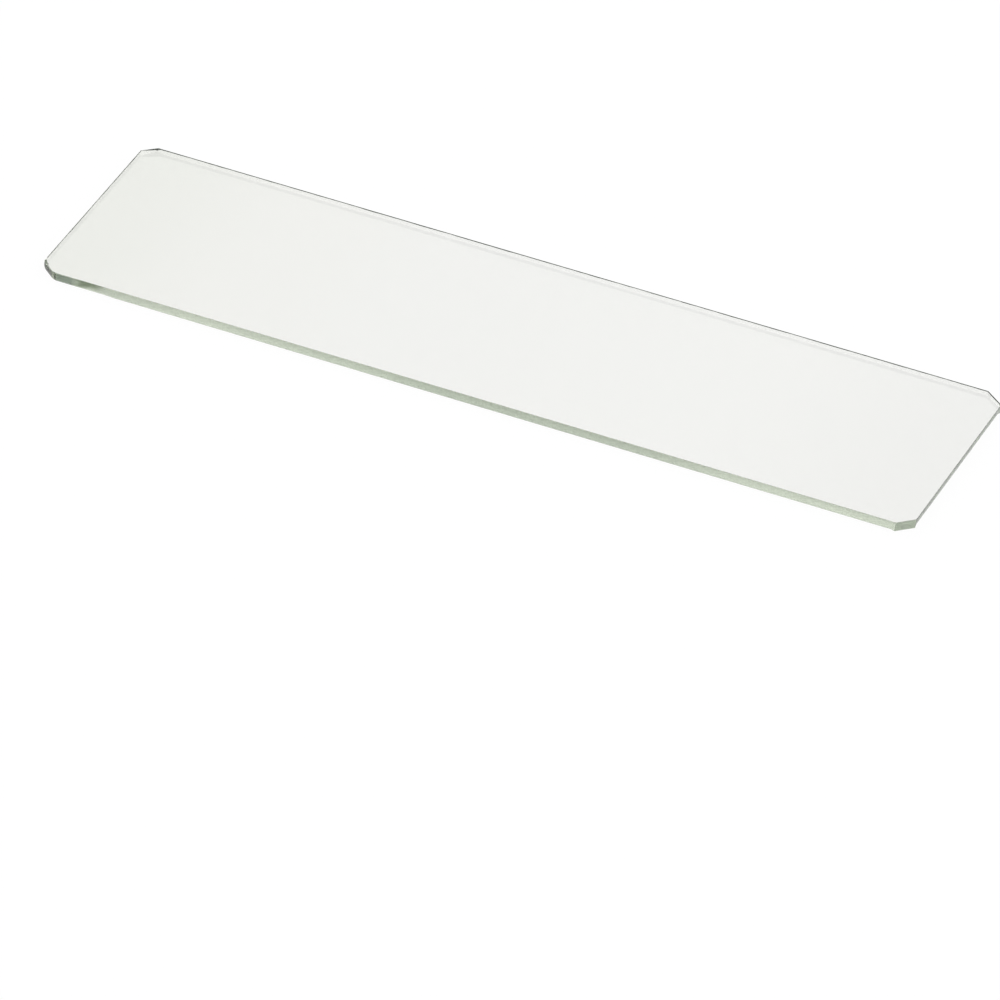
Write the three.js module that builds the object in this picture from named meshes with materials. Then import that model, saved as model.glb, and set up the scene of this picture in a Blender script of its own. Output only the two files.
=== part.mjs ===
// A plain microscope slide: one sheet of clear soda-lime float glass with clipped corners and ground edges.
// Millimetres, +Z up. The slide lies flat, long edges along X, short ends along Y. The origin is at the centre of
// the underside, and the front long edge faces -Y.
import * as THREE from 'three';

// The sheet, measured over its ground edges.
const LENGTH = 76;
const WIDTH = 26;
const THICKNESS = 0.8;

// Each corner is scribed at 45 degrees and broken off, so the four differ a little. A cut's size is the length that
// it takes off each of the two sides it joins.
const FRONT_LEFT_CUT = 1.35;
const FRONT_RIGHT_CUT = 1.35;
const BACK_RIGHT_CUT = 1.7;
const BACK_LEFT_CUT = 1.3;

// The grinding belt rounds the upright corners between a side and a cut.
const UPRIGHT_CORNER_RADIUS = 0.2;

// A fine 45 degree arris runs round both faces, so that no edge is sharp. This is its height and its width.
const ARRIS = 0.05;

// Flat steps in each rounded upright corner, an even number.
const ROUNDING_STEPS = 4;

// Corners of the sheet seen from above, counter-clockwise, before any of them is rounded.
function cornersOfSheet() {
  const right = LENGTH / 2;
  const left = -right;
  const back = WIDTH / 2;
  const front = -back;
  return [
    new THREE.Vector2(left + FRONT_LEFT_CUT, front),
    new THREE.Vector2(right - FRONT_RIGHT_CUT, front),
    new THREE.Vector2(right, front + FRONT_RIGHT_CUT),
    new THREE.Vector2(right, back - BACK_RIGHT_CUT),
    new THREE.Vector2(right - BACK_RIGHT_CUT, back),
    new THREE.Vector2(left + BACK_LEFT_CUT, back),
    new THREE.Vector2(left, back - BACK_LEFT_CUT),
    new THREE.Vector2(left, front + FRONT_LEFT_CUT),
  ];
}

// Joins the corners with straight sides and rounds each corner with an arc that touches both of its sides.
function roundedOutline(corners, radius) {
  const outline = new THREE.Shape();
  corners.forEach((corner, i) => {
    const before = corners.at(i - 1);
    const after = corners[(i + 1) % corners.length];
    const arriving = corner.clone().sub(before).normalize();
    const leaving = after.clone().sub(corner).normalize();
    const turn = Math.acos(arriving.dot(leaving));
    const setBack = radius * Math.tan(turn / 2);
    const arcStart = corner.clone().addScaledVector(arriving, -setBack);
    const centre = new THREE.Vector2(-arriving.y, arriving.x).multiplyScalar(radius).add(arcStart);
    const startAngle = Math.atan2(arcStart.y - centre.y, arcStart.x - centre.x);
    outline.absarc(centre.x, centre.y, radius, startAngle, startAngle + turn, false);
  });
  outline.closePath();
  return outline;
}

// The outline is extruded upwards. The extrusion's bevel is the arris, turned inwards so that the sheet keeps its
// full length and width between the two arrises. An arc is cut into twice as many steps as curveSegments says.
function glassSheetGeometry() {
  const outline = roundedOutline(cornersOfSheet(), UPRIGHT_CORNER_RADIUS);
  const geometry = new THREE.ExtrudeGeometry(outline, {
    depth: THICKNESS - 2 * ARRIS,
    curveSegments: ROUNDING_STEPS / 2,
    bevelEnabled: true,
    bevelSegments: 1,
    bevelThickness: ARRIS,
    bevelSize: ARRIS,
    bevelOffset: -ARRIS,
  });
  geometry.translate(0, 0, ARRIS);
  return geometry;
}

// Clear glass with the faint green of its iron content.
const clearGlass = new THREE.MeshStandardMaterial({
  color: 0xe4ece2,
  roughness: 0.05,
  metalness: 0,
  transparent: true,
  opacity: 0.35,
});

const glassSlide = new THREE.Mesh(glassSheetGeometry(), clearGlass);
glassSlide.name = 'glass_slide';

const microscopeSlide = new THREE.Group();
microscopeSlide.add(glassSlide);

export default microscopeSlide;
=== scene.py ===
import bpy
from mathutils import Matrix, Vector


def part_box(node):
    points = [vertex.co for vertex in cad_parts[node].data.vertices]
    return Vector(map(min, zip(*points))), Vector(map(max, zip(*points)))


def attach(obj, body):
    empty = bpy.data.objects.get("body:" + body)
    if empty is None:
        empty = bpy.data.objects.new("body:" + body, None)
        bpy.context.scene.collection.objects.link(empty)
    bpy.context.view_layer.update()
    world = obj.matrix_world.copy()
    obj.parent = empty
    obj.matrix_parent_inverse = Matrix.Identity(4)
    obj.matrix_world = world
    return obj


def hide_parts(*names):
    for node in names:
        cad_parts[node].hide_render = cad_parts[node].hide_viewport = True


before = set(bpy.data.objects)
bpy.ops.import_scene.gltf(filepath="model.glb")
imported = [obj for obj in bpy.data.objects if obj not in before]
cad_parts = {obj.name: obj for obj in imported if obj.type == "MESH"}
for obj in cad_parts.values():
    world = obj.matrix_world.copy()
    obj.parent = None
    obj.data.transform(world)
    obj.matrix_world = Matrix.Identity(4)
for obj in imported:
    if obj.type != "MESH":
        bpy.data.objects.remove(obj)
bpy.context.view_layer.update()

import math

import bpy
from mathutils import Matrix, Vector


# --- White card -------------------------------------------------------------------------------------------
# The slide lies on one large sheet of matt white card, as glassware is shown in a catalogue. The card is cut
# large enough to fill the view when it is seen almost edge on.
MM = 0.001
# It is cut round, as a polygon with this many sides.
CARD_REACH = 4.0
CARD_SIDES = 96
# The card lies this far below the slide, so that the two surfaces don't fall into one.
CARD_GAP = 0.02 * MM
CARD_WHITE = "#FFFFFF"
# The share of the card's white that doesn't depend on the shade.
CARD_GLOW = 0.96


def linear(hex_colour):
    """Turns an sRGB hex colour into the linear RGBA that a shader takes."""
    channels = [int(hex_colour[i:i + 2], 16) / 255 for i in (1, 3, 5)]
    return (*[c / 12.92 if c <= 0.04045 else ((c + 0.055) / 1.055) ** 2.4 for c in channels], 1)


def empty_material(name):
    """A material with an output node and nothing else."""
    material = bpy.data.materials.new(name)
    material.use_nodes = True
    material.node_tree.nodes.clear()
    output = material.node_tree.nodes.new("ShaderNodeOutputMaterial")
    return material, material.node_tree, output


def add_node(tree, kind, settings=None, inputs=None):
    """Adds a node. settings are its properties, and inputs go to its sockets: a value or a socket to link."""
    node = tree.nodes.new(kind)
    for name, value in (settings or {}).items():
        setattr(node, name, value)
    for name, value in (inputs or {}).items():
        if isinstance(value, bpy.types.NodeSocket):
            tree.links.new(value, node.inputs[name])
        else:
            node.inputs[name].default_value = value
    return node


def matt_white_card():
    """Uncoated card: no gloss. Most of its white doesn't depend on the shade: only a faint shadow shows."""
    material, tree, output = empty_material("matt_white_card")
    white = linear(CARD_WHITE)
    paper = add_node(tree, "ShaderNodeBsdfDiffuse", inputs={"Color": white})
    glow = add_node(tree, "ShaderNodeEmission", inputs={"Color": white, "Strength": 1.0})
    rays = add_node(tree, "ShaderNodeLightPath")
    seen = add_node(tree, "ShaderNodeMath", {"operation": "ADD"},
                    {0: rays.outputs["Is Camera Ray"], 1: rays.outputs["Is Glossy Ray"]})
    seen = add_node(tree, "ShaderNodeMath", {"operation": "ADD", "use_clamp": True},
                    {0: seen.outputs[0], 1: rays.outputs["Is Transmission Ray"]})
    share = add_node(tree, "ShaderNodeMath", {"operation": "MULTIPLY"}, {0: seen.outputs[0], 1: CARD_GLOW})
    mixed = add_node(tree, "ShaderNodeMixShader",
                     inputs={0: share.outputs[0], 1: paper.outputs[0], 2: glow.outputs[0]})
    tree.links.new(mixed.outputs[0], output.inputs["Surface"])
    return material


bpy.ops.mesh.primitive_circle_add(vertices=CARD_SIDES, radius=CARD_REACH, fill_type="NGON",
                                  location=(0, 0, -CARD_GAP))
card = bpy.context.object
card.name = "white_card"
card.data.materials.append(matt_white_card())


# --- Glass slide ------------------------------------------------------------------------------------------
# One sheet of drawn soda-lime glass, scored and snapped to size, with each corner clipped at about 45
# degrees. Its sides are ground to a fine satin and its faces are left as drawn. Nothing is fixed to it.

# Each cut has its length along the front or back side, and its length along the end.
FRONT_LEFT_CUT = (1.4 * MM, 1.4 * MM)
FRONT_RIGHT_CUT = (1.26 * MM, 1.5 * MM)
BACK_RIGHT_CUT = (1.65 * MM, 1.65 * MM)
BACK_LEFT_CUT = (1.13 * MM, 1.28 * MM)
# The front side is snapped a little out of square: the sheet is this much narrower at its left end.
OUT_OF_SQUARE = 0.3 * MM

# The upright corners: the two of the front left cut are worn round, and the others are crisp.
WORN_CORNER_RADIUS = 1.0 * MM
CRISP_CORNER_RADIUS = 0.1 * MM
CORNER_STEPS = 6

# The width and height of the arrises, the narrow rounded bevels along the rims. The upper ones, and the lower
# one of the front right cut, are only broken with a stone. The back and the left end are left almost sharp
# below. The front side and the right end are ground away more there, and the front left corner is worn too.
FINE_ARRIS = (0.04 * MM, 0.04 * MM)
BACK_ARRIS = (0.008 * MM, 0.008 * MM)
FRONT_ARRIS = (0.22 * MM, 0.22 * MM)
RIGHT_ARRIS = (0.13 * MM, 0.6 * MM)
WORN_ARRIS = (0.28 * MM, 0.65 * MM)
WORN_CORNER_ARRIS = (0.36 * MM, 0.7 * MM)
ARRIS_STEPS = 5
# The worn arris runs this far along the front side.
WORN_LENGTH = 4.5 * MM
# The length over which one arris turns into the next, and the same beside the worn corner.
ARRIS_CHANGE = 0.3 * MM
WORN_ARRIS_CHANGE = 0.9 * MM

# Width of the border of small faces that joins the rounded outline to each face's plain middle. It is less
# than the smallest cut, so that no two of the middle's corners fall together.
BORDER = 1.0 * MM

# The scoring wheel left a frosted trace on the rim of the upper face, which reaches in this far. Its inner
# edge is soft and wavers by a quarter over lengths of about 1.5 mm, as the wheel chips the glass unevenly.
# The trace's dark tint is painted shade, for the thin dark line along the rim.
NO_SCORE = 0
BACK_SCORE = 0.185 * MM
BACK_RIGHT_SCORE = 0.19 * MM
BACK_LEFT_SCORE = 0.5 * MM
LEFT_SCORE = 0.08 * MM
SCORE_WAVER = 0.25
SCORE_WAVER_LENGTH = 1.5 * MM
SCORE_SOFTNESS = 0.03 * MM
# Painted shade: the dark grey of the line along the rim.
SCORE_PAINTED_SHADE = "#3C403C"
SCORE_ROUGHNESS = 1.0

GLASS_IOR = 1.52
# Iron in the glass takes out this much of the red, green and blue light per millimetre, least of it green.
ABSORBED_PER_MM = (0.0210, 0.0177, 0.0246)
# Each surface's tint, its roughness, and 1 where the painted shade of the front side shows in it. The
# grey-green tints of the cuts are painted shade, darkest on the front left cut; the right end is a little
# grey.
SURFACES_AND_PAINTED_SHADE = {
    "face": ("#FFFFFF", 0.0, 0),
    "front": ("#FFFFFF", 0.17, 1),
    "worn front": ("#FFFFFF", 0.2, 1),
    # Painted shade: the cuts are tinted grey-green, darker than the sides beside them.
    "cut": ("#8D918D", 0.3, 0),
    "right end": ("#E1E1DF", 0.03, 0),
    "left end": ("#FFFFFF", 0.05, 0),
    "back": ("#FFFFFF", 0.06, 0),
    # Painted shade: the front left cut is tinted nearly black.
    "front left cut in painted shade": ("#181915", 0.25, 0),
}
# The tone of the glass along the slide: millimetres from its middle, and the tone there. Both tables are
# painted shade. The faces' tone also holds the glass's faint grey-green, and darkens towards the left end.
# The front side's is darkest beside the front left cut, none just right of it, and deeper across its middle.
FACE_TINT_AND_PAINTED_SHADE = ((-38, "#E3E4DF"), (-22, "#E8E8E5"), (-8, "#E9E9E7"), (18, "#EAEAE8"), (38, "#E7E7E5"))
FRONT_PAINTED_SHADE = (
    (-36.68, "#282925"), (-36.58, "#8A8B85"), (-36.5, "#96978F"), (-36.3, "#68746A"), (-36, "#515A54"),
    (-35, "#626D66"), (-34.4, "#FFFFFF"), (-33.5, "#FFFFFF"), (-32.7, "#C4C5C4"), (-31.5, "#CBCCCB"),
    (-25, "#DBDBDB"), (-12, "#CCCECC"), (-2, "#B2B6B3"), (13, "#B4B7B5"), (27, "#DDDDDD"))

low, high = (Vector(corner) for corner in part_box("glass_slide"))


def sheet_corners():
    """The corners seen from above, counter-clockwise. Each has its radius, the lower arris and the reach of
    the scoring trace there, and the finish of the side that it starts. A corner without a radius is a place
    along a side where these change."""
    front_left = low.x + FRONT_LEFT_CUT[0]
    front_right = high.x - FRONT_RIGHT_CUT[0]

    def on_front_side(x):
        return x, low.y + OUT_OF_SQUARE * (front_right - x) / (front_right - front_left)

    worn_end = front_left + WORN_LENGTH
    left_end = on_front_side(front_left)[1] + FRONT_LEFT_CUT[1]
    return [
        (*on_front_side(front_left), WORN_CORNER_RADIUS, WORN_ARRIS, NO_SCORE, "worn front"),
        (*on_front_side(worn_end), 0, WORN_ARRIS, NO_SCORE, "front"),
        (*on_front_side(worn_end + WORN_ARRIS_CHANGE), 0, FRONT_ARRIS, NO_SCORE, "front"),
        (*on_front_side(front_right - ARRIS_CHANGE), 0, FRONT_ARRIS, NO_SCORE, "front"),
        (front_right, low.y, CRISP_CORNER_RADIUS, FINE_ARRIS, NO_SCORE, "cut"),
        (high.x, low.y + FRONT_RIGHT_CUT[1], CRISP_CORNER_RADIUS, FINE_ARRIS, NO_SCORE, "right end"),
        (high.x, low.y + FRONT_RIGHT_CUT[1] + ARRIS_CHANGE, 0, RIGHT_ARRIS, NO_SCORE, "right end"),
        (high.x, high.y - BACK_RIGHT_CUT[1] - ARRIS_CHANGE, 0, RIGHT_ARRIS, NO_SCORE, "right end"),
        (high.x, high.y - BACK_RIGHT_CUT[1], CRISP_CORNER_RADIUS, BACK_ARRIS, BACK_RIGHT_SCORE, "back"),
        (high.x - BACK_RIGHT_CUT[0], high.y, CRISP_CORNER_RADIUS, BACK_ARRIS, BACK_SCORE, "back"),
        (low.x + BACK_LEFT_CUT[0] + ARRIS_CHANGE, high.y, 0, BACK_ARRIS, BACK_SCORE, "back"),
        (low.x + BACK_LEFT_CUT[0], high.y, CRISP_CORNER_RADIUS, BACK_ARRIS, BACK_LEFT_SCORE, "back"),
        (low.x, high.y - BACK_LEFT_CUT[1], CRISP_CORNER_RADIUS, BACK_ARRIS, LEFT_SCORE, "left end"),
        (low.x, left_end + WORN_ARRIS_CHANGE, 0, BACK_ARRIS, LEFT_SCORE, "left end"),
        (low.x, left_end, WORN_CORNER_RADIUS, WORN_CORNER_ARRIS, NO_SCORE, "front left cut in painted shade"),
    ]


def rounded_outline():
    """The outline's points. Each has the direction that faces out of the sheet, the lower arris and the reach
    of the scoring trace there, the finish of the strip that it starts, and the number of its corner."""
    corners = sheet_corners()
    outline = []
    for i, (x, y, radius, arris, score, finish) in enumerate(corners):
        corner = Vector((x, y))
        arriving = (corner - Vector(corners[i - 1][:2])).normalized()
        leaving = (Vector(corners[(i + 1) % len(corners)][:2]) - corner).normalized()
        if radius == 0:
            outline.append((corner, Vector((leaving.y, -leaving.x)), arris, score, finish, i))
            continue
        turn = arriving.angle(leaving)
        arc_start = corner - arriving * radius * math.tan(turn / 2)
        centre = arc_start + Vector((-arriving.y, arriving.x)) * radius
        first = math.atan2(arc_start.y - centre.y, arc_start.x - centre.x)
        for step in range(CORNER_STEPS + 1):
            angle = first + turn * step / CORNER_STEPS
            outward = Vector((math.cos(angle), math.sin(angle)))
            outline.append((centre + outward * radius, outward, arris, score, finish, i))
    return outline


def glass_sheet_mesh():
    """Rings of points run round the side from the underside up. Each face is closed by a border round a plain
    middle with one point for each corner. Each point has the normal of its place on the side, so that the
    arrises shade round and the sides flat, the reach of the scoring trace there, and its distance in from
    the rim. The faces' own normal serves for the middle's points."""
    outline = rounded_outline()
    count = len(outline)
    points = []
    for lower in (True, False):
        for step in range(ARRIS_STEPS + 1):
            angle = math.pi / 2 * step / ARRIS_STEPS
            for point, outward, arris, score, _, _ in outline:
                wide, tall = arris if lower else FINE_ARRIS
                # How far round the arris this ring has come: the level and the upright part of its direction.
                level, upright = math.sin(angle), math.cos(angle)
                if not lower:
                    level, upright = upright, level
                place = point - outward * wide * (1 - level)
                height = low.z + tall * (1 - upright) if lower else high.z - tall * (1 - upright)
                normal = Vector((*(outward * level * tall), (-upright if lower else upright) * wide))
                points.append((Vector((place.x, place.y, height)), normal.normalized(),
                               NO_SCORE if lower else score, 0))
    faces = []
    side_faces = []
    for start in range(0, len(points) - count, count):
        for i in range(count):
            j = (i + 1) % count
            side_faces.append((start + i, start + j, start + count + j, start + count + i))
    for ring, height in ((0, low.z), (len(points) - count, high.z)):
        middle = len(points)
        for x, y, _, _, score, _ in sheet_corners():
            inside = Vector((max(low.x + BORDER, min(high.x - BORDER, x)),
                             max(low.y + BORDER, min(high.y - BORDER, y)), height))
            points.append((inside, None, score if height == high.z else NO_SCORE, BORDER))
        border = []
        for i in range(count):
            j = (i + 1) % count
            here, there = middle + outline[i][5], middle + outline[j][5]
            border.append((ring + i, ring + j, here) if here == there else (ring + i, ring + j, there, here))
        border.append(tuple(range(middle, len(points))))
        faces += border if height == high.z else [tuple(reversed(face)) for face in border]
    mesh = bpy.data.meshes.new("glass_sheet")
    mesh.from_pydata([point[0] for point in points], [], side_faces + faces)
    mesh.polygons.foreach_set("use_smooth", [True] * len(mesh.polygons))
    normals = []
    for polygon in mesh.polygons:
        flat = None if polygon.index < len(side_faces) else Vector((0, 0, round(polygon.normal.z)))
        normals += [flat or points[vertex][1] for vertex in polygon.vertices]
    mesh.normals_split_custom_set(normals)
    # The upper arris is so fine that it shines as the faces do.
    below_top_arris = count * (ARRIS_STEPS + 1)
    surfaces_with_shade = [SURFACES_AND_PAINTED_SHADE[outline[i % count][4]] for i in range(below_top_arris)]
    surfaces_with_shade += [SURFACES_AND_PAINTED_SHADE["face"]] * (len(side_faces) + len(faces) - below_top_arris)
    tint = mesh.attributes.new("tint", "FLOAT_COLOR", "FACE")
    tint.data.foreach_set("color", [channel for finish in surfaces_with_shade for channel in linear(finish[0])])
    for name, domain, values in (("ground", "FACE", [1] * len(side_faces) + [0] * len(faces)),
                                 ("roughness", "FACE", [finish[1] for finish in surfaces_with_shade]),
                                 ("painted_front_shade", "FACE", [finish[2] for finish in surfaces_with_shade]),
                                 ("score", "POINT", [point[2] for point in points]),
                                 ("inward", "POINT", [point[3] for point in points])):
        mesh.attributes.new(name, "FLOAT", domain).data.foreach_set("value", values)
    return mesh


def add_ramp(tree, share, stops):
    """Adds a colour ramp with these stops, each a share and its colour, and gives back the colour."""
    ramp = add_node(tree, "ShaderNodeValToRGB", inputs={0: share})
    ramp.color_ramp.interpolation = "EASE"
    elements = ramp.color_ramp.elements
    elements.remove(elements[1])
    elements[0].position, elements[0].color = stops[0]
    for place, colour in stops[1:]:
        elements.new(place).color = colour
    return ramp.outputs[0]


def drawn_soda_lime_glass():
    """Clear glass, with a faint grey-green through its faces and a fuller green in its ground edges, where
    light has run a long way through it. Painted shade dims the faces and the front side along the slide and
    darkens the cuts. The edges are satin, and the scoring trace is a dull line painted dark as shade."""
    material, tree, output = empty_material("drawn_soda_lime_glass")
    place = add_node(tree, "ShaderNodeTexCoord").outputs["Object"]

    def attribute(name, socket="Fac"):
        return add_node(tree, "ShaderNodeAttribute", {"attribute_name": name}).outputs[socket]

    ground = attribute("ground")

    # Nearly all of the noise lies between 0.3 and 0.7.
    waver = add_node(tree, "ShaderNodeTexNoise",
                     inputs={"Vector": place, "Scale": 1 / SCORE_WAVER_LENGTH, "Detail": 3.0})
    waver = add_node(tree, "ShaderNodeMapRange",
                     inputs={"Value": waver.outputs["Fac"], "From Min": 0.3, "From Max": 0.7,
                             "To Min": 1 - SCORE_WAVER, "To Max": 1 + SCORE_WAVER})
    reach = add_node(tree, "ShaderNodeMath", {"operation": "MULTIPLY"},
                     {0: waver.outputs[0], 1: attribute("score")})
    within = add_node(tree, "ShaderNodeMath", {"operation": "SUBTRACT"},
                      {0: reach.outputs[0], 1: attribute("inward")})
    trace = add_node(tree, "ShaderNodeMapRange",
                     inputs={"Value": within.outputs[0], "From Min": 0.0, "From Max": SCORE_SOFTNESS})
    trace = add_node(tree, "ShaderNodeMix", {"data_type": "FLOAT"},
                     {0: ground, 2: trace.outputs[0], 3: 0.0}).outputs[0]

    axes = add_node(tree, "ShaderNodeSeparateXYZ", inputs={0: place})
    along = add_node(tree, "ShaderNodeMapRange",
                     inputs={"Value": axes.outputs["X"], "From Min": low.x, "From Max": high.x}).outputs[0]

    def tone(stops):
        """The tone of the glass by the distance along the slide: painted shade, with the faces' grey-green.
        """
        return add_ramp(tree, along, [((x * MM - low.x) / (high.x - low.x), linear(colour))
                                      for x, colour in stops])

    # The front side takes its painted shade, and the faces their grey-green and painted shade.
    edge_painted_shade = add_node(tree, "ShaderNodeMix", {"data_type": "RGBA"},
                         {0: attribute("painted_front_shade"), 6: (1, 1, 1, 1), 7: tone(FRONT_PAINTED_SHADE)}).outputs[2]
    tones_and_painted_shade = add_node(tree, "ShaderNodeMix", {"data_type": "RGBA"},
                     {0: ground, 6: tone(FACE_TINT_AND_PAINTED_SHADE), 7: edge_painted_shade}).outputs[2]
    tint = add_node(tree, "ShaderNodeMix", {"data_type": "RGBA", "blend_type": "MULTIPLY"},
                    {0: 1.0, 6: attribute("tint", "Color"), 7: tones_and_painted_shade}).outputs[2]
    # The trace is frosted, and its dark tint is painted shade.
    tint = add_node(tree, "ShaderNodeMix", {"data_type": "RGBA"}, {0: trace, 6: tint, 7: linear(SCORE_PAINTED_SHADE)})
    roughness = add_node(tree, "ShaderNodeMix", {"data_type": "FLOAT"},
                         {0: trace, 2: attribute("roughness"), 3: SCORE_ROUGHNESS})
    surface = add_node(tree, "ShaderNodeBsdfPrincipled",
                       inputs={"Base Color": tint.outputs[2], "Roughness": roughness.outputs[0],
                               "IOR": GLASS_IOR, "Transmission Weight": 1.0})
    # An absorbing body takes out its density times what its colour falls short of white.
    density = max(ABSORBED_PER_MM) / MM
    body_colour = (*[1 - absorbed / MM / density for absorbed in ABSORBED_PER_MM], 1)
    body = add_node(tree, "ShaderNodeVolumeAbsorption", inputs={"Color": body_colour, "Density": density})
    tree.links.new(surface.outputs[0], output.inputs["Surface"])
    tree.links.new(body.outputs[0], output.inputs["Volume"])
    return material


glass_sheet = bpy.data.objects.new("glass_sheet", glass_sheet_mesh())
bpy.context.scene.collection.objects.link(glass_sheet)
glass_sheet.data.materials.append(drawn_soda_lime_glass())
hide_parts("glass_slide")
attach(glass_sheet, "root")


# --- Studio light -----------------------------------------------------------------------------------------
# A plain white studio, lit from all round: bright walls at the left and right, a softer panel between them
# behind the slide, a softer wall in front, and the least light overhead. The ground edges show the panel.
LEFT_WALL = 2.0
RIGHT_WALL = 1.8
FRONT_WALL = 1.5
PANEL = 1.42
CEILING = 0.65
# A colour ramp holds no value above 1, so that it gives each strength as a share of this one.
BRIGHTEST = 2.0
# The panel's middle is turned this far to the left of straight behind the slide.
PANEL_AZIMUTH = math.radians(14.5)
# The sine of the angle to the right of the panel's middle, and the strength there.
PANEL_STOPS = ((-0.38, LEFT_WALL), (-0.14, PANEL), (0.12, PANEL), (0.36, RIGHT_WALL))
# The front wall ends where a direction's share towards the back rises from the first of these to the second.
FRONT_WALL_FROM = -0.5
FRONT_WALL_TO = -0.1
# The walls give way to the ceiling between these two angles above the horizon.
CEILING_FROM = math.radians(32)
CEILING_TO = math.radians(52)


def studio_world():
    """The studio's light by direction: the panel and side walls, then the front wall, then the ceiling."""
    world = bpy.data.worlds.new("studio")
    world.use_nodes = True
    tree = world.node_tree
    tree.nodes.clear()
    output = tree.nodes.new("ShaderNodeOutputWorld")
    towards = add_node(tree, "ShaderNodeTexCoord").outputs["Generated"]
    axes = add_node(tree, "ShaderNodeSeparateXYZ", inputs={0: towards})
    rightwards = (math.cos(PANEL_AZIMUTH), math.sin(PANEL_AZIMUTH), 0)
    aside = add_node(tree, "ShaderNodeVectorMath", {"operation": "DOT_PRODUCT"}, {0: towards, 1: rightwards})
    aside = add_node(tree, "ShaderNodeMapRange", inputs={"Value": aside.outputs["Value"], "From Min": -1.0})
    walls = add_ramp(tree, aside.outputs[0], [((place + 1) / 2, (*[strength / BRIGHTEST] * 3, 1))
                                              for place, strength in PANEL_STOPS])
    walls = add_node(tree, "ShaderNodeMath", {"operation": "MULTIPLY"}, {0: walls, 1: BRIGHTEST})
    away = add_node(tree, "ShaderNodeMapRange", {"interpolation_type": "SMOOTHSTEP"},
                    {"Value": axes.outputs["Y"], "From Min": FRONT_WALL_FROM, "From Max": FRONT_WALL_TO})
    walls = add_node(tree, "ShaderNodeMix", {"data_type": "FLOAT"},
                     {0: away.outputs[0], 2: FRONT_WALL, 3: walls.outputs[0]})
    overhead = add_node(tree, "ShaderNodeMapRange", {"interpolation_type": "SMOOTHSTEP"},
                        {"Value": axes.outputs["Z"],
                         "From Min": math.sin(CEILING_FROM), "From Max": math.sin(CEILING_TO)})
    strength = add_node(tree, "ShaderNodeMix", {"data_type": "FLOAT"},
                        {0: overhead.outputs[0], 2: walls.outputs[0], 3: CEILING}).outputs[0]
    light = add_node(tree, "ShaderNodeBackground", inputs={"Color": (1, 1, 1, 1), "Strength": strength})
    tree.links.new(light.outputs[0], output.inputs["Surface"])
    return world


scene = bpy.context.scene
scene.world = studio_world()

# Light in a thin sheet is turned back and forth between its faces dozens of times. None of it may be dropped.
BOUNCES = 128
scene.cycles.max_bounces = BOUNCES
scene.cycles.glossy_bounces = BOUNCES
scene.cycles.transmission_bounces = BOUNCES
scene.cycles.blur_glossy = 0.0


# --- Camera -----------------------------------------------------------------------------------------------
# A long lens looks down on the slide from the front, a little to the right. It is turned on its axis, so that
# the slide lies across the view at a slant.
AIM = Vector((7.789, -28.032, 0.8)) * MM
AZIMUTH = math.radians(14.757)
ELEVATION = math.radians(28.299)
ROLL = math.radians(9.391)
DISTANCE = 1327.4 * MM
# The focal length and the sensor's width in millimetres, as Blender takes them.
LENS = 595.30
SENSOR = 36.0
NEAREST = 0.1
FARTHEST = 10.0

lens = bpy.data.cameras.new("camera")
lens.lens = LENS
lens.sensor_width = SENSOR
lens.clip_start = NEAREST
lens.clip_end = FARTHEST
camera = bpy.data.objects.new("camera", lens)
scene.collection.objects.link(camera)
back = Vector((math.sin(AZIMUTH) * math.cos(ELEVATION), -math.cos(AZIMUTH) * math.cos(ELEVATION),
               math.sin(ELEVATION)))
camera.matrix_world = (Matrix.Translation(AIM + back * DISTANCE)
                       @ back.to_track_quat("Z", "Y").to_matrix().to_4x4()
                       @ Matrix.Rotation(ROLL, 4, "Z"))
scene.camera = camera
scene.view_settings.view_transform = "Standard"
